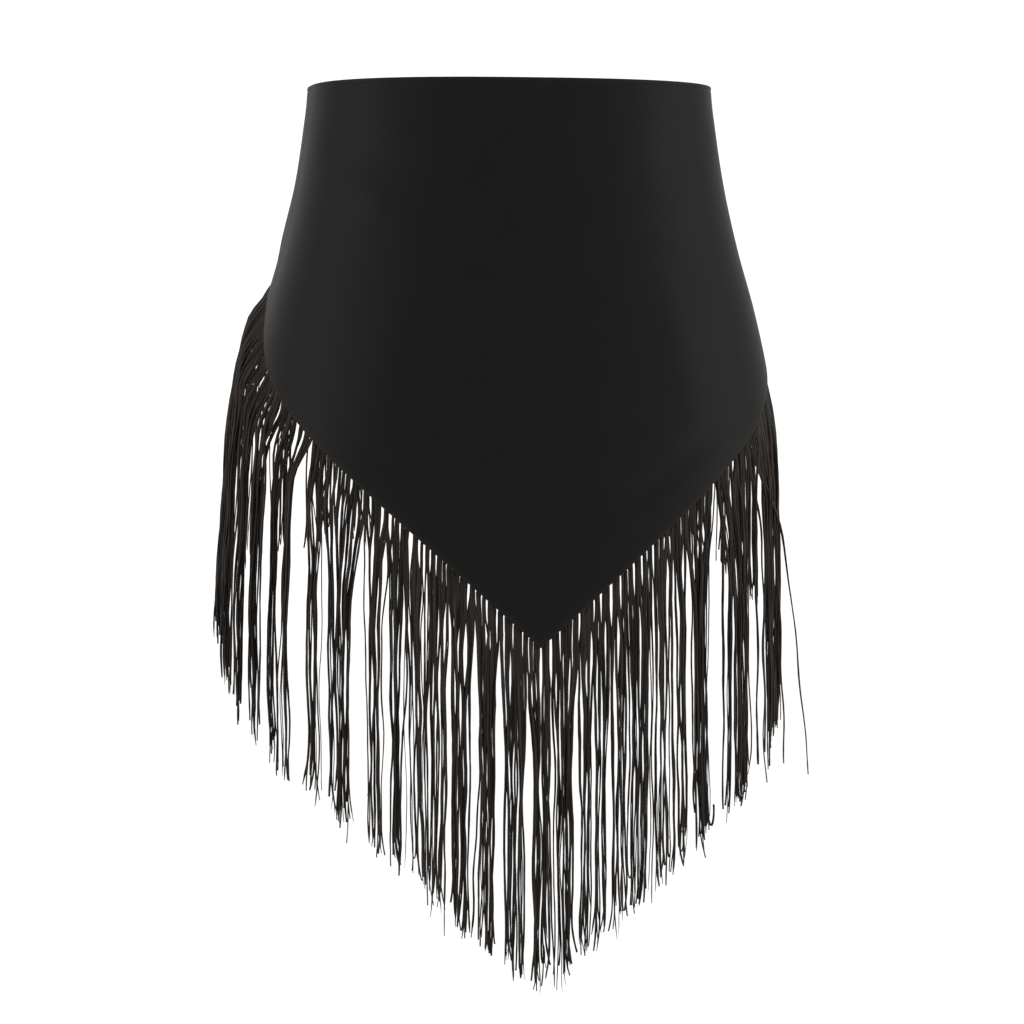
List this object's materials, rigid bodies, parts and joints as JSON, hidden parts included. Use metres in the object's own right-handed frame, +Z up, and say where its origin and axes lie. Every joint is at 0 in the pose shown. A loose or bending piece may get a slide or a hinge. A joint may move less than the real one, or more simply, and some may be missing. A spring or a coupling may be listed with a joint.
{
  "type": "fringed hip belt",
  "caption": "Wide black hip belt for stage wear in its worn, hollow form: pointed front, narrow lapped back, and long fringe hanging from the slanting hem.",
  "frame": {"origin": "middle of the waist opening, level with the top edge, where the wearer's waist holds the belt", "axes": "+Z up the wearer's body, -Y the front with the hem's point, +X the wearer's left side"},
  "size_m": [0.3376, 0.2393, 0.5312],
  "materials": {
    "belt_cloth": "smooth matt black cloth with a faint warm sheen",
    "fringe_thread": "black chainette cord with a soft gloss",
    "hook_and_loop": "black hook and loop tape, matt"
  },
  "bodies": {
    "root": {"front_panel": "belt_cloth", "back_left_panel": "belt_cloth", "back_right_panel": "belt_cloth", "loop_tape": "hook_and_loop", "hook_tape": "hook_and_loop", "fringe_left": "fringe_thread", "fringe_right": "fringe_thread"}
  },
  "joints": []
}
